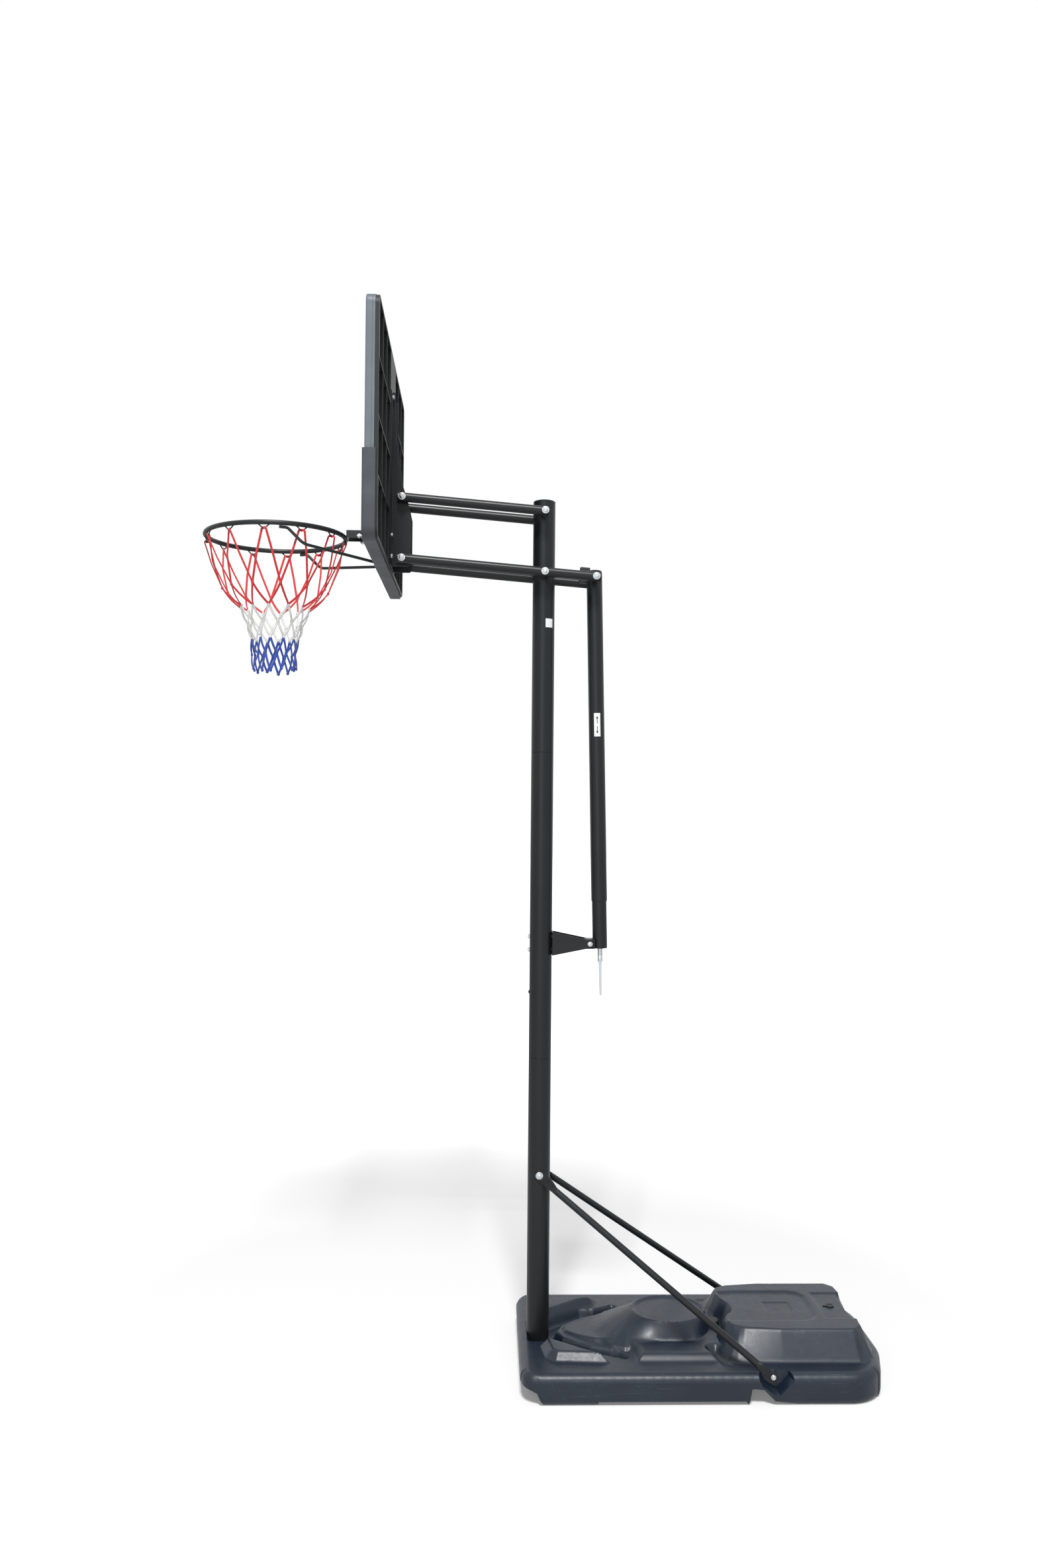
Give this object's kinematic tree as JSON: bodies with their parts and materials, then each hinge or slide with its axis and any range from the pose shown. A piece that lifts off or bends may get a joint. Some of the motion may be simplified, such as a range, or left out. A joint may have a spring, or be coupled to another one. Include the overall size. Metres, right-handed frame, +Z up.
{
  "type": "portable basketball stand",
  "caption": "Portable basketball stand: weighted plastic base on wheels, braced steel pole, screw-jack height adjustment, backboard and sprung rim with net.",
  "frame": {"origin": "on the pole's axis at floor level, under the base", "axes": "+Z up, -X towards the hoop, +X to the rear of the base, and -Y towards the side that the picture shows"},
  "size_m": [2.3017, 1.134, 3.431],
  "materials": {
    "powder_coat": "black satin powder coat",
    "rim_coat": "charcoal satin powder coat",
    "zinc": "bright zinc plate",
    "tank_plastic": "dark navy-grey blow-moulded polyethylene, scuffed",
    "frame_plastic": "black satin moulded plastic",
    "board_face": "bare smooth plastic sheet",
    "pad": "dark grey skinned foam",
    "cap_plastic": "black moulded plastic",
    "wheel_plastic": "black matt plastic",
    "net_cord": "red, white and blue polyester cord",
    "water": "clear water"
  },
  "bodies": {
    "stand": {"base_tank": "tank_plastic", "water_ballast": "water", "wheel_axle_left": "zinc", "wheel_axle_right": "zinc", "pole_lower": "powder_coat", "pole_middle": "powder_coat", "pole_upper": "powder_coat", "pole_cap": "cap_plastic", "strut_left": "powder_coat", "strut_right": "powder_coat", "strut_top_bolt": "zinc", "strut_foot_bolt_left": "zinc", "strut_foot_bolt_right": "zinc", "jack_bracket": "powder_coat", "jack_bracket_bolt_1": "zinc", "jack_bracket_bolt_2": "zinc", "jack_pivot_bolt_left": "zinc", "jack_pivot_bolt_right": "zinc", "lower_arm_pivot_bolt": "zinc", "upper_arm_pivot_bolt": "zinc", "lower_pivot_sleeve": "zinc", "upper_pivot_sleeve": "zinc"},
    "wheel_left": {"wheel_left": "wheel_plastic"},
    "wheel_right": {"wheel_right": "wheel_plastic"},
    "filler_cap": {"filler_cap": "cap_plastic"},
    "drain_plug": {"drain_plug": "cap_plastic"},
    "lower_arms": {"lower_arm_left": "powder_coat", "lower_arm_right": "powder_coat", "jack_top_bolt": "zinc", "arm_stop_block": "cap_plastic"},
    "upper_arms": {"upper_arm_left": "powder_coat", "upper_arm_right": "powder_coat"},
    "backboard": {"board_frame": "frame_plastic", "board_panel": "board_face", "board_pad": "pad", "board_bracket": "powder_coat", "lower_board_pivot_bolt": "zinc", "upper_board_pivot_bolt": "zinc", "board_top_bolt_left": "zinc", "board_top_bolt_right": "zinc", "rim_mount_plate": "rim_coat", "rim_mount_bolt_left_1": "zinc", "rim_mount_bolt_left_2": "zinc", "rim_mount_bolt_right_1": "zinc", "rim_mount_bolt_right_2": "zinc", "spring_stud_left": "zinc", "spring_stud_right": "zinc"},
    "rim": {"rim_ring": "rim_coat", "rim_bracket": "rim_coat", "rim_brace_left": "rim_coat", "rim_brace_right": "rim_coat", "rim_spring_left": "zinc", "rim_spring_right": "zinc", "net": "net_cord"},
    "jack_outer": {"jack_outer_tube": "powder_coat"},
    "jack_inner": {"jack_inner_tube": "powder_coat"},
    "crank": {"jack_screw": "zinc", "crank_pin": "zinc"},
    "crank_handle": {"crank_handle": "zinc"}
  },
  "joints": [
    {"name": "height", "type": "hinge", "parent": "stand", "child": "lower_arms", "pos_m": [0, 0, 2.6857], "axis": [0, 1, 0], "range_deg": [-46.65, 31.1]},
    {"name": "upper_arm_swing", "type": "hinge", "parent": "stand", "child": "upper_arms", "pos_m": [0, 0, 2.893], "axis": [0, 1, 0], "range_deg": [-46.65, 31.1]},
    {"name": "board_swing", "type": "hinge", "parent": "lower_arms", "child": "backboard", "pos_m": [-0.4849, 0, 2.72514], "axis": [0, 1, 0], "range_deg": [-31.1, 46.65]},
    {"name": "jack_swing", "type": "hinge", "parent": "lower_arms", "child": "jack_outer", "pos_m": [0.17492, 0, 2.67147], "axis": [0, 1, 0], "range_deg": [-31.1, 46.65]},
    {"name": "jack_slide", "type": "slide", "parent": "jack_outer", "child": "jack_inner", "axis": [-0.0227, 0, 0.9997], "range_m": [-0.1345, 0.0897]},
    {"name": "crank_turn", "type": "hinge", "parent": "jack_inner", "child": "crank", "pos_m": [0.20449, 0, 1.36831], "axis": [-0.0227, 0, 0.9997], "continuous": true},
    {"name": "crank_fold", "type": "hinge", "parent": "crank", "child": "crank_handle", "pos_m": [0.20449, 0, 1.36831], "axis": [0, -1, 0], "range_deg": [0, 90]},
    {"name": "rim_tilt", "type": "hinge", "parent": "backboard", "child": "rim", "pos_m": [-0.5689, 0, 2.7022], "axis": [0, -1, 0], "range_deg": [0, 10], "stiffness_Nm_per_rad": 300, "springref_deg": -8.59, "deforming": ["rim_spring_left", "rim_spring_right"]},
    {"name": "wheel_left_spin", "type": "hinge", "parent": "stand", "child": "wheel_left", "pos_m": [-0.018, -0.252, 0.052], "axis": [0, 1, 0], "continuous": true},
    {"name": "wheel_right_spin", "type": "hinge", "parent": "stand", "child": "wheel_right", "pos_m": [-0.018, 0.252, 0.052], "axis": [0, 1, 0], "continuous": true},
    {"name": "filler_cap_turn", "type": "hinge", "parent": "stand", "child": "filler_cap", "pos_m": [0.597, 0, 0.1203], "axis": [0, 0, 1], "continuous": true},
    {"name": "drain_plug_pull", "type": "slide", "parent": "stand", "child": "drain_plug", "axis": [0, 0, 1], "range_m": [0, 0.02]}
  ],
  "couplings": [
    {"joint": "upper_arm_swing", "follows": "height", "ratio": 1},
    {"joint": "board_swing", "follows": "height", "ratio": -1},
    {"joint": "jack_swing", "follows": "height", "ratio": -1},
    {"joint": "jack_slide", "follows": "height", "m_per_rad": 0.165},
    {"joint": "crank_turn", "follows": "height", "ratio": 208.36}
  ]
}
